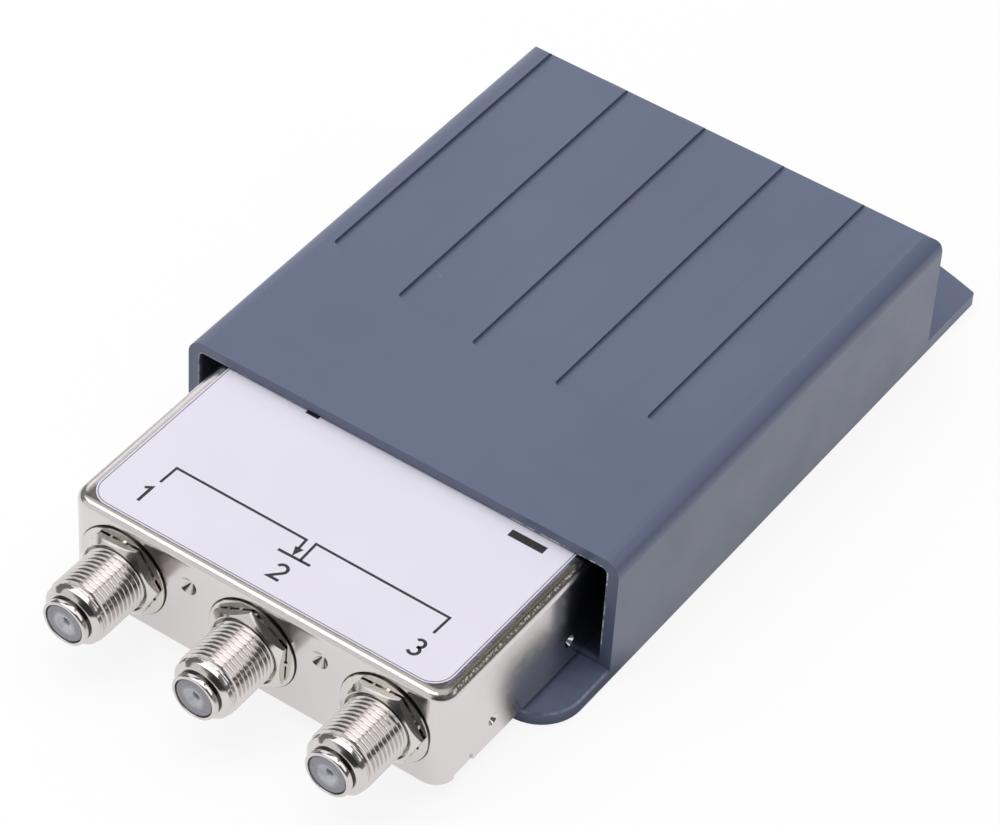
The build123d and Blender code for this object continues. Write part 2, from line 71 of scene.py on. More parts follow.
# Port barrel, with lengths out from the front wall
THREAD_RADIUS_MM = 4.7625
THREAD_PITCH_MM = 25.4 / 32
THREAD_DEPTH_MM = 0.48
THREAD_START_MM = 1.62
THREAD_END_MM = 9.75
SHANK_RADIUS_MM = 4.6025
SHANK_END_MM = THREAD_START_MM - 0.02
FLANGE_RADIUS_MM = 5.7025
FLANGE_FRONT_MM = -1.25
FLANGE_BACK_MM = -2.45
SPIGOT_RADIUS_MM = 3.75
SPIGOT_END_MM = -4.05
BORE_RADIUS_MM = 3.0
BORE_ROW_MM = 11.5
BAND_BACK_RADIUS_MM = 4.60
BAND_BACK_MM = THREAD_END_MM + 0.05
WAIST_RADIUS_MM = 4.52
WAIST_MM = 10.40
BAND_FRONT_RADIUS_MM = 3.85
BAND_FRONT_MM = 11.05
GROOVE_RADIUS_MM = 3.30
GROOVE_BACK_MM = 11.07
GROOVE_FRONT_MM = 11.40
RIM_RADIUS_MM = 3.50
RIM_BACK_MM = 11.42
NOSE_MM = 12.30

# Bounds of the marks on the surfaces, in the row's frame
CAVITY_SHADE_X_MM = (-CAVITY_HALF_MM - 0.1, CAVITY_HALF_MM + 0.1)
CAVITY_SHADE_Y_MM = (0.6, CAVITY_END_MM + 0.1)
CAVITY_SHADE_Z_MM = (CAVITY_LOW_MM - 0.1, CAVITY_HIGH_MM + 0.1)
BURR_Y_MM = (-0.2, 0.25)
BURR_RING_MM = (MOUTH_CORNER_MM - 0.12, MOUTH_CORNER_MM + 0.20)
BURR_SIDE_MM = (15.0, 21.0)
BURR_FOOT_MM = (3.5, 4.5)
TONGUE_HIGHLIGHT_Z_MM = (1.72, 1.97)
TONGUE_HIGHLIGHT_Y_MM = (-20.0, -0.8)
MARGIN_LEVEL_MM = (19.04, 19.09)
MARGIN_LEFT_MM = (-28.6, -28.0)
MARGIN_RIGHT_MM = (28.0, 28.4)
MARGIN_BACK_MM = (-28.0, -27.0)
BEND_X_MM = (28.05, 29.70)
BEND_FOOT_MM = (17.2, 17.6)
BEND_FRONT_MM = (-29.2, -28.0)
BEND_SHADE_MM = (28.25, 28.90)
BEND_RIDGE_MM = (29.25, 29.58)
WALL_FRONT_MM = (FRONT_Y_MM + 0.05, FRONT_Y_MM + 0.10)
WASHER_SHADE_RADII_MM = (6.88, 7.02)
CUT_EDGE_RADII_MM = (6.86, 7.5)
GROOVE_Y_MM = (FRONT_Y_MM - RIM_BACK_MM, FRONT_Y_MM - BAND_FRONT_MM)
GROOVE_SHADE_RADII_MM = (3.34, 3.46)

# Colours of the marks
BURR_COLOUR = (0.62, 0.64, 0.68)
TONGUE_HIGHLIGHT_COLOUR = (0.27, 0.30, 0.37)
MARGIN_SHADE_COLOUR = (0.13, 0.12, 0.10)
BEND_REFLECTION_COLOURS = (0.38, 0.365, 0.40), (0.112, 0.106, 0.088)
BEND_GLINT_COLOUR = (0.75, 0.72, 0.66)
WASHER_SHADE_COLOUR = (0.12, 0.11, 0.10)
WASHER_EDGE_REFLECTION_COLOUR = (0.07, 0.06, 0.05)
GROOVE_SHADE_COLOUR = (0.10, 0.095, 0.09)


# Nodes that materials share

def place(tree):
    """Coordinates in metres in the row's frame."""
    return tree.nodes.new("ShaderNodeTexCoord").outputs["Object"]


def noise(tree, scale, detail=2.0, roughness=0.5):
    """A noise value from 0 to 1, with scale in waves a metre."""
    node = tree.nodes.new("ShaderNodeTexNoise")
    node.inputs["Scale"].default_value = scale
    node.inputs["Detail"].default_value = detail
    node.inputs["Roughness"].default_value = roughness
    tree.links.new(place(tree), node.inputs["Vector"])
    return node.outputs["Fac"]


def spread(tree, value, low, high, from_low=0.3, from_high=0.7):
    """Maps a value to a range. The bounds that it comes from suit a noise value."""
    node = tree.nodes.new("ShaderNodeMapRange")
    node.inputs["From Min"].default_value = from_low
    node.inputs["From Max"].default_value = from_high
    node.inputs["To Min"].default_value = low
    node.inputs["To Max"].default_value = high
    tree.links.new(value, node.inputs["Value"])
    return node.outputs["Result"]


def rise(tree, value, low, high):
    """0 below low and 1 above high."""
    return spread(tree, value, 0.0, 1.0, low, high)


def fall(tree, value, low, high):
    """1 below low and 0 above high."""
    return spread(tree, value, 1.0, 0.0, low, high)


def blend_colour(tree, factor, first, second):
    node = tree.nodes.new("ShaderNodeMix")
    node.data_type = "RGBA"
    for socket, colour in ((node.inputs["A"], first), (node.inputs["B"], second)):
        if hasattr(colour, "is_output"):
            tree.links.new(colour, socket)
        else:
            socket.default_value = (*colour, 1.0)
    tree.links.new(factor, node.inputs["Factor"])
    return node.outputs["Result"]


def calculate(tree, operation, first, second=None):
    node = tree.nodes.new("ShaderNodeMath")
    node.operation = operation
    for socket, value in zip(node.inputs, (first, second)):
        if hasattr(value, "is_output"):
            tree.links.new(value, socket)
        elif value is not None:
            socket.default_value = value
    return node.outputs[0]


def product(tree, first, *others):
    for other in others:
        first = calculate(tree, "MULTIPLY", first, other)
    return first


def hypotenuse(tree, first, second):
    squares = [product(tree, side, side) for side in (first, second)]
    return calculate(tree, "SQRT", calculate(tree, "ADD", *squares))


def within(tree, value, bounds, soft):
    """1 where a value is between two bounds and 0 outside them, with soft edges."""
    low, high = bounds
    entered = rise(tree, value, low - soft, low + soft)
    return product(tree, entered, fall(tree, value, high - soft, high + soft))


def axes_mm(tree):
    """X, Y and Z in millimetres in the row's frame."""
    split = tree.nodes.new("ShaderNodeSeparateXYZ")
    tree.links.new(place(tree), split.inputs[0])
    return [calculate(tree, "DIVIDE", split.outputs[axis], MM) for axis in "XYZ"]


def past_corner(tree, first, first_limit, second, second_limit):
    """How far two values are past the corner where their limits meet."""
    over = [
        calculate(tree, "MAXIMUM", calculate(tree, "SUBTRACT", value, limit), 0.0)
        for value, limit in ((first, first_limit), (second, second_limit))
    ]
    return hypotenuse(tree, *over)


def from_port_axis(tree):
    """Distance in millimetres from the nearest port's axis."""
    x, _, z = axes_mm(tree)
    pitches = calculate(tree, "DIVIDE", x, PORT_PITCH_MM)
    from_nearest = calculate(tree, "SUBTRACT", pitches, calculate(tree, "ROUND", pitches))
    across = calculate(tree, "MULTIPLY", from_nearest, PORT_PITCH_MM)
    return hypotenuse(tree, across, calculate(tree, "SUBTRACT", z, PORT_Z_MM))


def bump(tree, shader, height, strength, distance):
    """Adds a bump over any that the shader has. distance is in metres."""
    node = tree.nodes.new("ShaderNodeBump")
    node.inputs["Strength"].default_value = strength
    node.inputs["Distance"].default_value = distance
    tree.links.new(height, node.inputs["Height"])
    before = shader.inputs["Normal"].links
    if before:
        tree.links.new(before[0].from_socket, node.inputs["Normal"])
    tree.links.new(node.outputs["Normal"], shader.inputs["Normal"])


def new_material(name):
    material = bpy.data.materials.new(name)
    material.use_nodes = True
    tree = material.node_tree
    tree.nodes.clear()
    output = tree.nodes.new("ShaderNodeOutputMaterial")
    shader = tree.nodes.new("ShaderNodeBsdfPrincipled")
    tree.links.new(shader.outputs[0], output.inputs["Surface"])
    return material, tree, shader


def clouded(tree, scale, detail, first, second):
    """A colour that drifts between two."""
    return blend_colour(tree, spread(tree, noise(tree, scale, detail), 0.0, 1.0), first, second)


# Sleeve plastic. Each mark gives where it lies, from 0 to 1.

def painted_cavity_shade(tree):
    """Painted shade over the sleeve's cavity, which darkens its inside."""
    x, y, z = axes_mm(tree)
    across = within(tree, x, CAVITY_SHADE_X_MM, 0.05)
    along = within(tree, y, CAVITY_SHADE_Y_MM, 0.4)
    return product(tree, across, along, within(tree, z, CAVITY_SHADE_Z_MM, 0.05))


def mouth_burr(tree):
    """Pale flecks of a cut burr along the mouth's inner edge, most of them on the right."""
    x, y, z = axes_mm(tree)
    outward = past_corner(tree, calculate(tree, "ABSOLUTE", x), CAVITY_HALF_MM - MOUTH_CORNER_MM,
                          z, CAVITY_HIGH_MM - MOUTH_CORNER_MM)
    edge = product(tree, within(tree, y, BURR_Y_MM, 0.02), within(tree, outward, BURR_RING_MM, 0.03))
    side_start, side_full = BURR_SIDE_MM
    right = rise(tree, x, side_start, side_full)
    left = spread(tree, x, 0.28, 0.0, -side_full, -side_start)
    flecks = rise(tree, noise(tree, 700.0, 3.0, 0.7), 0.47, 0.54)
    return product(tree, edge, rise(tree, z, *BURR_FOOT_MM), calculate(tree, "MAXIMUM", right, left), flecks)


def tongue_edge_painted_highlight(tree):
    """A painted highlight along the tongue's upper edge."""
    _, y, z = axes_mm(tree)
    edge = product(tree, within(tree, z, TONGUE_HIGHLIGHT_Z_MM, 0.04), within(tree, y, TONGUE_HIGHLIGHT_Y_MM, 0.3))
    return product(tree, edge, spread(tree, noise(tree, 260.0, 4.0, 0.7), 0.0, 0.8, 0.42, 0.60))


def moulded_plastic(name, dark, light, roughness):
    material, tree, shader = new_material(name)
    colour = clouded(tree, 38.0, 3.0, dark, light)
    dust = spread(tree, noise(tree, 620.0, 1.0), 0.0, 0.35, 0.80, 0.84)
    marks = (
        (dust, tuple(2.0 * share + 0.05 for share in light)),
        # The cavity's darker colour is painted shade.
        (painted_cavity_shade(tree), tuple(0.35 * share for share in dark)),
        (mouth_burr(tree), BURR_COLOUR),
        # Painted highlight along the tongue's upper edge.
        (tongue_edge_painted_highlight(tree), TONGUE_HIGHLIGHT_COLOUR),
    )
    for where, mark_colour in marks:
        colour = blend_colour(tree, where, colour, mark_colour)
    tree.links.new(colour, shader.inputs["Base Color"])
    sheen = spread(tree, noise(tree, 160.0, 4.0), roughness - 0.04, roughness + 0.05)
    tree.links.new(sheen, shader.inputs["Roughness"])
    shader.inputs["Specular IOR Level"].default_value = 0.5
    bump(tree, shader, noise(tree, 4200.0), 0.16, 0.00004)
    bump(tree, shader, noise(tree, 300.0), 0.10, 0.00006)
    return material


# Metals. Each mark gives where it lies, from 0 to 1, and its colour.

def port_ring(tree, radii_mm):
    """A ring in front of the box's wall, between two distances from each port's axis."""
    _, y, _ = axes_mm(tree)
    return product(tree, within(tree, from_port_axis(tree), radii_mm, 0.04), fall(tree, y, *WALL_FRONT_MM))


def washer_painted_shade(tree):
    """Painted shade on the box's wall where the washers meet it."""
    return port_ring(tree, WASHER_SHADE_RADII_MM), WASHER_SHADE_COLOUR


def washer_edge_painted_reflection(tree):
    """A painted dark reflection on the washers' cut edges."""
    return port_ring(tree, CUT_EDGE_RADII_MM), WASHER_EDGE_REFLECTION_COLOUR


def front_margin_painted_shade(tree):
    """The case's bare strip along the label's front edge, with painted shade and a painted dark reflection.
    """
    x, y, z = axes_mm(tree)
    raised = calculate(tree, "ADD", z, spread(tree, x, 0.0, 0.20, *MARGIN_RIGHT_MM))
    # The strip's dark colour is painted shade and a painted dark reflection.
    level = spread(tree, raised, 0.0, 0.85, *MARGIN_LEVEL_MM)
    return product(tree, level, fall(tree, y, *MARGIN_BACK_MM), rise(tree, x, *MARGIN_LEFT_MM)), MARGIN_SHADE_COLOUR


def right_bend_painted_reflection(tree):
    """The case's right bend, with a painted dark reflection over it and painted glints along its ridge."""
    x, y, z = axes_mm(tree)
    behind_corner = product(tree, rise(tree, z, *BEND_FOOT_MM), rise(tree, y, *BEND_FRONT_MM))
    band = product(tree, within(tree, x, BEND_X_MM, 0.08), behind_corner)
    flecks = spread(tree, noise(tree, 2600.0, 3.0, 0.7), 0.0, 0.62, 0.48, 0.60)
    ridge = product(tree, within(tree, x, BEND_RIDGE_MM, 0.08), flecks)
    # Painted dark reflection across the bend, with painted glints along the ridge.
    painted_dark = blend_colour(tree, rise(tree, x, *BEND_SHADE_MM), *BEND_REFLECTION_COLOURS)
    return band, blend_colour(tree, ridge, painted_dark, BEND_GLINT_COLOUR)


def nose_groove_painted_shade(tree):
    """Painted shade in the groove behind each port's rim."""
    _, y, _ = axes_mm(tree)
    deep = fall(tree, from_port_axis(tree), *GROOVE_SHADE_RADII_MM)
    return product(tree, within(tree, y, GROOVE_Y_MM, 0.05), deep), GROOVE_SHADE_COLOUR


def plated_metal(name, colour, tint, roughness, grain=2600.0, grain_strength=0.12, marks=(), drawn=False):
    material, tree, shader = new_material(name)
    shade = clouded(tree, 90.0, 3.0, colour, tint)
    for mark in marks:
        where, mark_colour = mark(tree)
        shade = blend_colour(tree, where, shade, mark_colour)
    tree.links.new(shade, shader.inputs["Base Color"])
    shader.inputs["Metallic"].default_value = 1.0
    rough = spread(tree, noise(tree, 700.0, 4.0, 0.6), roughness * 0.8, roughness * 1.2)
    if drawn:
        # The plating is coarser over the drawn top edge
        _, _, z = axes_mm(tree)
        rough = product(tree, rough, spread(tree, z, 1.0, 1.3, *DRAWN_EDGE_MM))
        coarse = product(tree, noise(tree, 3600.0, 2.0, 0.6), rise(tree, z, *DRAWN_EDGE_MM))
        bump(tree, shader, coarse, 0.30, 0.00003)
    tree.links.new(rough, shader.inputs["Roughness"])
    bump(tree, shader, noise(tree, grain, 3.0, 0.6), grain_strength, 0.00002)
    bump(tree, shader, noise(tree, 210.0), 0.05, 0.0001)
    return material


# Other materials

def printed_film(name):
    material, tree, shader = new_material(name)
    colour = clouded(tree, 60.0, 2.0, (0.735, 0.713, 0.805), (0.755, 0.733, 0.825))
    tree.links.new(colour, shader.inputs["Base Color"])
    tree.links.new(spread(tree, noise(tree, 900.0, 3.0), 0.30, 0.40), shader.inputs["Roughness"])
    bump(tree, shader, noise(tree, 1800.0), 0.05, 0.00002)
    return material


def printed_ink(name):
    material, tree, shader = new_material(name)
    colour = clouded(tree, 2600.0, 3.0, (0.010, 0.010, 0.012), (0.020, 0.019, 0.023))
    tree.links.new(colour, shader.inputs["Base Color"])
    tree.links.new(spread(tree, noise(tree, 1500.0), 0.35, 0.5), shader.inputs["Roughness"])
    return material


def plain_matte(name, dark, light, roughness, scale=900.0):
    material, tree, shader = new_material(name)
    tree.links.new(clouded(tree, scale, 4.0, dark, light), shader.inputs["Base Color"])
    rough = spread(tree, noise(tree, scale * 1.7, 3.0), roughness - 0.06, roughness + 0.06)
    tree.links.new(rough, shader.inputs["Roughness"])
    bump(tree, shader, noise(tree, scale * 3.0), 0.12, 0.00003)
    return material


def insulator_plastic(name):
    """Slightly clear plastic, paler towards each port's axis by painted light and darker towards the rim by
    painted shade.
    """
    material, tree, shader = new_material(name)
    wobble = spread(tree, noise(tree, 450.0, 3.0), -0.25, 0.25)
    outward = calculate(tree, "ADD", from_port_axis(tree), wobble)
    # Painted light pales the middle and painted shade darkens the outer ring.
    colour = blend_colour(tree, rise(tree, outward, 0.9, 1.9), (0.66, 0.665, 0.71), (0.285, 0.285, 0.325))
    colour = blend_colour(tree, rise(tree, outward, 1.9, 2.75), colour, (0.27, 0.265, 0.30))
    tree.links.new(colour, shader.inputs["Base Color"])
    tree.links.new(spread(tree, noise(tree, 1400.0, 3.0), 0.18, 0.30), shader.inputs["Roughness"])
    bump(tree, shader, noise(tree, 1700.0, 3.0), 0.12, 0.00004)
    return material


materials = {
    "sleeve_plastic": moulded_plastic("sleeve_plastic", (0.102, 0.125, 0.202), (0.112, 0.136, 0.217), 0.32),
    # Its marks are painted shade and painted dark reflections, with painted glints on the right bend.
    "case_metal": plated_metal("case_metal", (0.69, 0.655, 0.65), (0.71, 0.675, 0.67), 0.17,
                               grain_strength=0.05, marks=(washer_painted_shade, front_margin_painted_shade, right_bend_painted_reflection), drawn=True),
    "tray_metal": plated_metal("tray_metal", (0.56, 0.545, 0.53), (0.60, 0.585, 0.565), 0.26),
    "label_film": printed_film("label_film"),
    "board_laminate": plain_matte("board_laminate", (0.02, 0.11, 0.045), (0.03, 0.14, 0.06), 0.45),
    "ferrite": plain_matte("ferrite", (0.028, 0.027, 0.027), (0.045, 0.043, 0.042), 0.7),
    "copper_wire": plated_metal("copper_wire", (0.62, 0.24, 0.10), (0.70, 0.30, 0.14), 0.25),
    "resistor_body": plain_matte("resistor_body", (0.46, 0.33, 0.15), (0.52, 0.38, 0.19), 0.4),
    "diode_body": plain_matte("diode_body", (0.008, 0.008, 0.009), (0.016, 0.016, 0.018), 0.5),
    "chip_body": plain_matte("chip_body", (0.34, 0.22, 0.12), (0.40, 0.27, 0.15), 0.5),
    # Its mark is painted shade in the groove behind each rim.
    "port_metal": plated_metal("port_metal", (0.65, 0.615, 0.60), (0.69, 0.655, 0.635), 0.14, 3400.0, 0.05,
                               marks=(nose_groove_painted_shade,)),
    # Its mark is a painted dark reflection on the washers' cut edges.
    "fixing_metal": plated_metal("fixing_metal", (0.66, 0.63, 0.60), (0.72, 0.69, 0.66), 0.15, 3000.0, 0.10,
                                 marks=(washer_edge_painted_reflection,)),
    "insulator_plastic": insulator_plastic("insulator_plastic"),
    "contact_metal": plated_metal("contact_metal", (0.60, 0.46, 0.24), (0.68, 0.53, 0.29), 0.3),
}

for subpart in frame["record"]["subparts"]:
    node = frame["nodes"][subpart["node"]]
    node.data.materials.clear()
    node.data.materials.append(materials[subpart["material_slot"]])


# Meshes

WELD_DISTANCE = 0.0000005
SHARP_DEGREES = 32.0


def mesh_object(name, vertices, faces, material, sharp_degrees=SHARP_DEGREES, weld=False):
    mesh = bpy.data.meshes.new(name)
    mesh.from_pydata(vertices, [], faces)
    mesh.update()
    work = bmesh.new()
    work.from_mesh(mesh)
    if weld:
        bmesh.ops.remove_doubles(work, verts=work.verts, dist=WELD_DISTANCE)
        bmesh.ops.dissolve_degenerate(work, edges=work.edges, dist=WELD_DISTANCE)
    bmesh.ops.recalc_face_normals(work, faces=work.faces)
    for face in work.faces:
        face.smooth = True
    for edge in work.edges:
        edge.smooth = edge.calc_face_angle(0.0) < math.radians(sharp_degrees)
    work.to_mesh(mesh)
    work.free()
    mesh.materials.append(material)
    piece = bpy.data.objects.new(name, mesh)
    bpy.context.scene.collection.objects.link(piece)
    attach(piece, "splitter_box")
    return piece


# Port barrels with their threads

BARREL_STEPS = 112
BARREL_SHARP_DEGREES = 44.0
# One turn of the 60 degree thread, as shares of its pitch and its depth
THREAD_SHARES = ((0.0, 0.955), (0.025, 1.0), (0.105, 1.0), (0.13, 0.955), (0.15, 0.898), (0.428, 0.102),
                 (0.448, 0.045), (0.475, 0.0), (0.655, 0.0), (0.682, 0.045), (0.702, 0.102), (0.98, 0.898))
# How far from each end of the thread its crests start to run out, and how steeply
NOSE_RUNOUT_MM, NOSE_RUNOUT_SLOPE = 0.30, 0.8
NUT_RUNOUT_MM, NUT_RUNOUT_SLOPE = 0.22, 0.7


def rounded(corner, before, after, radius, count=5):
    """Points round a corner of a profile."""
    corner, before, after = Vector(corner), Vector(before), Vector(after)
    start = corner + (before - corner).normalized() * radius
    end = corner + (after - corner).normalized() * radius
    return [
        tuple(start * (1 - t) ** 2 + corner * 2 * t * (1 - t) + end * t * t)
        for t in (i / (count - 1) for i in range(count))
    ]


def rear_rows():
    """Radius and place of each row, from the spigot in the box to where the thread starts."""
    return [
        (BORE_RADIUS_MM, SPIGOT_END_MM),
        (SPIGOT_RADIUS_MM, SPIGOT_END_MM),
        (SPIGOT_RADIUS_MM, FLANGE_BACK_MM),
        (FLANGE_RADIUS_MM, FLANGE_BACK_MM),
        (FLANGE_RADIUS_MM, FLANGE_FRONT_MM),
        (SHANK_RADIUS_MM, FLANGE_FRONT_MM),
        (SHANK_RADIUS_MM, SHANK_END_MM),
    ]


def nose_rows():
    """Radius and place of each row, from the end of the thread round the nose and into the bore."""
    band_back, band_front = (BAND_BACK_RADIUS_MM, BAND_BACK_MM), (BAND_FRONT_RADIUS_MM, BAND_FRONT_MM)
    waist = (WAIST_RADIUS_MM, WAIST_MM)
    groove_back, groove_front = (GROOVE_RADIUS_MM, GROOVE_BACK_MM), (GROOVE_RADIUS_MM, GROOVE_FRONT_MM)
    rim_back, nose = (RIM_RADIUS_MM, RIM_BACK_MM), (RIM_RADIUS_MM, NOSE_MM)
    mouth, bore = (BORE_RADIUS_MM, NOSE_MM), (BORE_RADIUS_MM, BORE_ROW_MM)
    rows = [band_back]
    rows += rounded(waist, band_back, band_front, radius=0.08, count=3)
    rows += rounded(band_front, waist, groove_back, radius=0.16)
    rows += [groove_back, groove_front]
    rows += rounded(rim_back, groove_front, nose, radius=0.17)
    rows += rounded(nose, rim_back, mouth, radius=0.32, count=7)
    rows += rounded(mouth, nose, bore, radius=0.10)
    return rows + [bore, (BORE_RADIUS_MM, SPIGOT_END_MM)]


def thread_rows():
    """Start and height of each row that winds round the barrel. They begin a turn early."""
    turns = math.ceil((THREAD_END_MM - THREAD_START_MM) / THREAD_PITCH_MM) + 2
    return [
        (THREAD_START_MM + (turn - 1 + share) * THREAD_PITCH_MM, height)
        for turn in range(turns) for share, height in THREAD_SHARES
    ]


def thread_point(start, height, turned):
    """Radius and place of a point on a winding row, at a share of a turn."""
    out = min(max(start + THREAD_PITCH_MM * turned, THREAD_START_MM), THREAD_END_MM)
    root = THREAD_RADIUS_MM - THREAD_DEPTH_MM
    if out in (THREAD_START_MM, THREAD_END_MM):
        return root, out
    crest = THREAD_RADIUS_MM
    crest -= max(0.0, NOSE_RUNOUT_MM - (THREAD_END_MM - out)) * NOSE_RUNOUT_SLOPE
    crest -= max(0.0, NUT_RUNOUT_MM - (out - THREAD_START_MM)) * NUT_RUNOUT_SLOPE
    return root + (crest - root) * height, out


def barrel(number, x):
    width = BARREL_STEPS + 1
    rows = [[row] * width for row in rear_rows()]
    for start, height in thread_rows():
        rows.append([thread_point(start, height, step / BARREL_STEPS) for step in range(width)])
    rows += [[row] * width for row in nose_rows()]
    vertices = []
    for row in rows:
        for step, (radius, out) in enumerate(row):
            angle = 2 * math.pi * step / BARREL_STEPS
            across = x + radius * math.cos(angle)
            above = PORT_Z_MM + radius * math.sin(angle)
            vertices.append((across * MM, (FRONT_Y_MM - out) * MM, above * MM))
    faces = []
    for first in range(0, (len(rows) - 1) * width, width):
        for corner in range(first, first + BARREL_STEPS):
            faces.append((corner, corner + 1, corner + width + 1, corner + width))
    piece = mesh_object(f"port_{number}_threaded_barrel", vertices, faces, materials["port_metal"],
                        BARREL_SHARP_DEGREES, weld=True)
    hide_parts(f"port_{number}_barrel")


for port_number, port_x in enumerate(PORT_XS_MM, start=1):
    barrel(port_number, port_x)


# Label print: the diagram's lines, two bars and a plain number at each port

PRINT_LOW_MM = LABEL_TOP_MM - 0.02
PRINT_HIGH_MM = LABEL_TOP_MM + 0.012
LINE_MM = 0.39
CROSSBAR_LINE_MM = LINE_MM * 1.15
NUMBER_HEIGHT_MM = 3.1
NUMBER_LINE_MM = 0.46
EDGE_LINE_INSET_MM = 0.19
EDGE_LINE_MM = 0.13
SHARPEST_MITRE = 0.3

ink = printed_ink("label_ink")


def slab(outline_mm, low_mm, high_mm):
    """Vertices and faces of a flat outline raised between two heights."""
    count = len(outline_mm)
    vertices = [(x * MM, y * MM, z * MM) for z in (low_mm, high_mm) for x, y in outline_mm]
    faces = [tuple(reversed(range(count))), tuple(range(count, 2 * count))]
    faces += [(i, (i + 1) % count, count + (i + 1) % count, count + i) for i in range(count)]
    return vertices, faces


def stroke(points_mm, width_mm):
    """The outline of a mitred line of one width."""
    points = [Vector(point) for point in points_mm]
    ways = [(end - start).normalized() for start, end in zip(points, points[1:])]
    left, right = [], []
    for point, before, after in zip(points, ways[:1] + ways, ways + ways[-1:]):
        across = Vector((-before.y, before.x))
        mitre = (across + Vector((-after.y, after.x))).normalized()
        reach = width_mm / 2 / max(SHARPEST_MITRE, mitre.dot(across))
        left.append(tuple(point + mitre * reach))
        right.append(tuple(point - mitre * reach))
    return left + right[::-1]


def arc(centre, radius, start_degrees, end_degrees, count=14):
    points = []
    for i in range(count):
        angle = math.radians(start_degrees + (end_degrees - start_degrees) * i / (count - 1))
        points.append((centre[0] + radius * math.cos(angle), centre[1] + radius * math.sin(angle)))
    return points


def on_label(*points_mm):
    """Points given by X and by the distance behind the box's front wall."""
    return [(x, FRONT_Y_MM + behind) for x, behind in points_mm]


def print_piece(name, outlines):
    vertices, faces = [], []
    for outline in outlines:
        more_vertices, more_faces = slab(outline, PRINT_LOW_MM, PRINT_HIGH_MM)
        faces += [tuple(i + len(vertices) for i in face) for face in more_faces]
        vertices += more_vertices
    mesh_object(name, vertices, faces, ink)


left_line = on_label((-21.9, 8.75), (-21.8, 12.1), (-0.7, 12.05), (-0.55, 10.2))
right_line = on_label((0.9, 8.55), (0.75, 12.2), (21.85, 12.15), (21.75, 8.75))
crossbar = on_label((-2.56, 8.5), (2.48, 8.6))
arrowhead = on_label((-1.15, 10.3), (-0.45, 8.65), (0.15, 10.35))
bar = on_label((19.1, 28.6), (24.6, 28.6), (24.6, 29.9), (19.1, 29.9))
pad = on_label((-15.0, 30.7), (-12.9, 30.7), (-12.9, 32.0), (-15.0, 32.0))
print_piece("label_diagram", [stroke(left_line, LINE_MM), stroke(right_line, LINE_MM),
                              stroke(crossbar, CROSSBAR_LINE_MM), arrowhead])
print_piece("label_bars", [bar, pad])

# Plain numbers as strokes, in shares of their height
NUMBER_STROKE_SHARES = {
    1: [[(-0.20, 0.29), (0.06, 0.47), (0.06, -0.5)]],
    2: [arc((0.0, 0.20), 0.25, 165, -38) + [(-0.25, -0.43), (0.29, -0.43)]],
    3: [arc((0.0, 0.21), 0.22, 150, -90), arc((0.0, -0.22), 0.24, 90, -150)],
}
number_places = on_label((-22.3, 5.9), (0.0, 5.35), (21.5, 5.6))
for (number, strokes), (x, y) in zip(NUMBER_STROKE_SHARES.items(), number_places):
    lines = [[(x + a * NUMBER_HEIGHT_MM, y + b * NUMBER_HEIGHT_MM) for a, b in points] for points in strokes]
    print_piece(f"label_number_{number}", [stroke(line, NUMBER_LINE_MM) for line in lines])


def label_loop(inset_mm, height_mm):
    """The label's outline, moved inward, at a height."""
    points = []
    for side, y, start in ((1, LABEL_FRONT_MM, -90), (1, LABEL_REAR_MM, 0), (-1, LABEL_REAR_MM, 90),
                           (-1, LABEL_FRONT_MM, 180)):
        inward = LABEL_CORNER_MM if y == LABEL_FRONT_MM else -LABEL_CORNER_MM
        centre = (side * (LABEL_HALF_MM - LABEL_CORNER_MM), y + inward)
        points += arc(centre, LABEL_CORNER_MM - inset_mm, start, start + 90, count=8)
    return [(x * MM, y * MM, height_mm * MM) for x, y in points]


def edge_line(name):
    """A thin line that follows the label's edge."""
    outer, inner = EDGE_LINE_INSET_MM, EDGE_LINE_INSET_MM + EDGE_LINE_MM
    loops = [label_loop(outer, PRINT_LOW_MM), label_loop(outer, PRINT_HIGH_MM),
             label_loop(inner, PRINT_HIGH_MM), label_loop(inner, PRINT_LOW_MM)]
    count = len(loops[0])
    faces = []
    for row in range(len(loops)):
        here, there = row * count, (row + 1) % len(loops) * count
        for i in range(count):
            beside = (i + 1) % count
            faces.append((here + i, here + beside, there + beside, there + i))
    edge_ink = plain_matte("label_edge_ink", (0.11, 0.11, 0.18), (0.17, 0.17, 0.26), 0.4)
    mesh_object(name, [vertex for loop in loops for vertex in loop], faces, edge_ink)


edge_line("label_edge_line")


# Floor

FLOOR_HALF = 3.0
FLOOR_DROP = 0.0002
CAMERA_WHITE_SHARE = 0.86
MIRRORED_WHITE_SHARE = 0.75
MIRRORED_SHADOW_STRENGTH = 0.15
# Over this stretch out from the middle the mirrored white ends
MIRRORED_WHITE_END = (0.25, 0.55)
# The shadow that metal mirrors round the tongue. Its corners are centred this far inside the tongue's
# outline, and it fades out over a stretch of radii and towards the back.
SHADOW_CORNER_MM = 10.0
SHADOW_RADII_MM = (SHADOW_CORNER_MM + 1.9, SHADOW_CORNER_MM + 3.9)
SHADOW_BACK_MM = (2.0, 8.0)


def tongue_shadow(tree):
    """1 under the tongue and close round it."""
    x, y, _ = axes_mm(tree)
    from_corner = past_corner(tree, calculate(tree, "ABSOLUTE", x), TONGUE_HALF_MM - SHADOW_CORNER_MM,
                              calculate(tree, "MULTIPLY", y, -1.0), TONGUE_LENGTH_MM - SHADOW_CORNER_MM)
    return product(tree, fall(tree, from_corner, *SHADOW_RADII_MM), fall(tree, y, *SHADOW_BACK_MM))


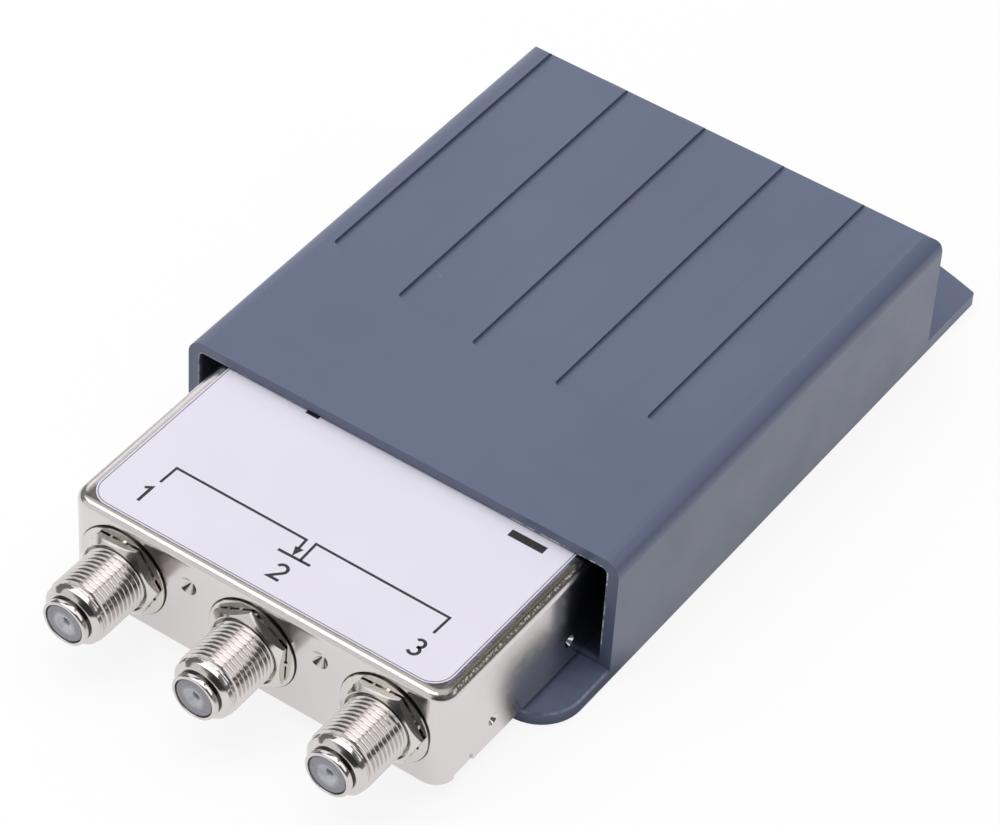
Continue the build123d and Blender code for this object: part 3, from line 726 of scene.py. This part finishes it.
def white_floor():
    """Pale paper that the camera sees as white. Near the object metal mirrors it as white too, but not
    round the tongue."""
    material = bpy.data.materials.new("floor")
    material.use_nodes = True
    tree = material.node_tree
    tree.nodes.clear()
    output = tree.nodes.new("ShaderNodeOutputMaterial")
    paper = tree.nodes.new("ShaderNodeBsdfDiffuse")
    paper.inputs["Color"].default_value = (0.94, 0.94, 0.94, 1.0)
    white = tree.nodes.new("ShaderNodeEmission")
    white.inputs["Color"].default_value = (1.0, 1.0, 1.0, 1.0)
    path = tree.nodes.new("ShaderNodeLightPath")
    distance = tree.nodes.new("ShaderNodeVectorMath")
    distance.operation = "LENGTH"
    tree.links.new(place(tree), distance.inputs[0])
    shadow = tongue_shadow(tree)
    mirrored = spread(tree, distance.outputs["Value"], MIRRORED_WHITE_SHARE, 0.0, *MIRRORED_WHITE_END)
    mirrored = calculate(tree, "MAXIMUM", mirrored, shadow)
    share = product(tree, path.outputs["Is Camera Ray"], CAMERA_WHITE_SHARE)
    for name in ("Is Glossy Ray", "Is Transmission Ray"):
        share = calculate(tree, "MAXIMUM", share, product(tree, path.outputs[name], mirrored))
    seen_shadow = product(tree, shadow, path.outputs["Is Glossy Ray"])
    strength = spread(tree, seen_shadow, 1.0, MIRRORED_SHADOW_STRENGTH, 0.0, 1.0)
    tree.links.new(strength, white.inputs["Strength"])
    mixed = tree.nodes.new("ShaderNodeMixShader")
    tree.links.new(share, mixed.inputs[0])
    tree.links.new(paper.outputs[0], mixed.inputs[1])
    tree.links.new(white.outputs[0], mixed.inputs[2])
    tree.links.new(mixed.outputs[0], output.inputs["Surface"])
    return material


floor_mesh = bpy.data.meshes.new("floor")
floor_corners = [(x * FLOOR_HALF, y * FLOOR_HALF, 0) for x, y in ((-1, -1), (1, -1), (1, 1), (-1, 1))]
floor_mesh.from_pydata(floor_corners, [], [(0, 1, 2, 3)])
floor_mesh.materials.append(white_floor())
floor = bpy.data.objects.new("floor", floor_mesh)
floor.location.z = -FLOOR_DROP
bpy.context.scene.collection.objects.link(floor)


# Studio light

LAMP_TARGET = (0.0, 0.01, 0.01)


def softbox(name, position, size, power, target=LAMP_TARGET, spin_degrees=0.0):
    lamp = bpy.data.lights.new(name, "AREA")
    lamp.shape = "RECTANGLE"
    lamp.size, lamp.size_y = size
    lamp.energy = power
    holder = bpy.data.objects.new(name, lamp)
    bpy.context.scene.collection.objects.link(holder)
    holder.location = position
    holder.rotation_mode = "QUATERNION"
    aim = (Vector(target) - Vector(position)).to_track_quat("-Z", "Y")
    holder.rotation_quaternion = aim @ Quaternion((0.0, 0.0, 1.0), math.radians(spin_degrees))


def studio_world():
    """A grey room, brighter on the left and darkest behind the camera."""
    world = bpy.data.worlds.new("studio")
    world.use_nodes = True
    tree = world.node_tree
    split = tree.nodes.new("ShaderNodeSeparateXYZ")
    tree.links.new(tree.nodes.new("ShaderNodeTexCoord").outputs["Generated"], split.inputs[0])
    x, y = split.outputs["X"], split.outputs["Y"]
    room = blend_colour(tree, rise(tree, x, -0.9, 0.3), (0.19, 0.195, 0.20), (0.13, 0.13, 0.135))
    behind = product(tree, fall(tree, y, -0.75, -0.45), rise(tree, x, -0.05, 0.20))
    background = tree.nodes["Background"]
    tree.links.new(blend_colour(tree, behind, room, (0.04, 0.04, 0.042)), background.inputs["Color"])
    background.inputs["Strength"].default_value = 1.0
    return world


softbox("overhead", (-0.164, -0.115, 0.80), (1.32, 0.92), 8.0,
        target=(-0.164, -0.115, 0.0), spin_degrees=35.0)
softbox("front_left", (-0.47, -0.815, 0.32), (0.9, 0.62), 1.16)
softbox("back_left", (-0.690, 0.852, 0.488), (0.80, 0.97), 2.35)
softbox("back_right", (0.793, 0.515, 0.739), (0.46, 0.92), 1.73, spin_degrees=-27.0)
bpy.context.scene.world = studio_world()


# Camera

CAMERA_AZIMUTH = math.radians(32.563)
CAMERA_ELEVATION = math.radians(43.741)
CAMERA_ROLL = math.radians(3.877)
CAMERA_PLACE = (0.23298, -0.34109, 0.42422)
FOCAL_PIXELS = 4429.287
PICTURE_WIDTH = 1000
SENSOR_WIDTH_MM = 36.0

right = Vector((math.cos(CAMERA_AZIMUTH), math.sin(CAMERA_AZIMUTH), 0.0))
back = Vector((
    math.sin(CAMERA_AZIMUTH) * math.cos(CAMERA_ELEVATION),
    -math.cos(CAMERA_AZIMUTH) * math.cos(CAMERA_ELEVATION),
    math.sin(CAMERA_ELEVATION),
))
up = back.cross(right)
rolled_right = right * math.cos(CAMERA_ROLL) + up * math.sin(CAMERA_ROLL)
rolled_up = up * math.cos(CAMERA_ROLL) - right * math.sin(CAMERA_ROLL)
lens = bpy.data.cameras.new("camera")
lens.sensor_fit = "HORIZONTAL"
lens.sensor_width = SENSOR_WIDTH_MM
lens.lens = FOCAL_PIXELS / PICTURE_WIDTH * SENSOR_WIDTH_MM
lens.clip_start, lens.clip_end = 0.01, 20.0
camera = bpy.data.objects.new("camera", lens)
bpy.context.scene.collection.objects.link(camera)
axes = Matrix((rolled_right, rolled_up, back)).transposed().to_4x4()
camera.matrix_world = Matrix.Translation(CAMERA_PLACE) @ axes
bpy.context.scene.camera = camera
bpy.context.scene.view_settings.view_transform = "Standard"

bpy.context.view_layer.update()
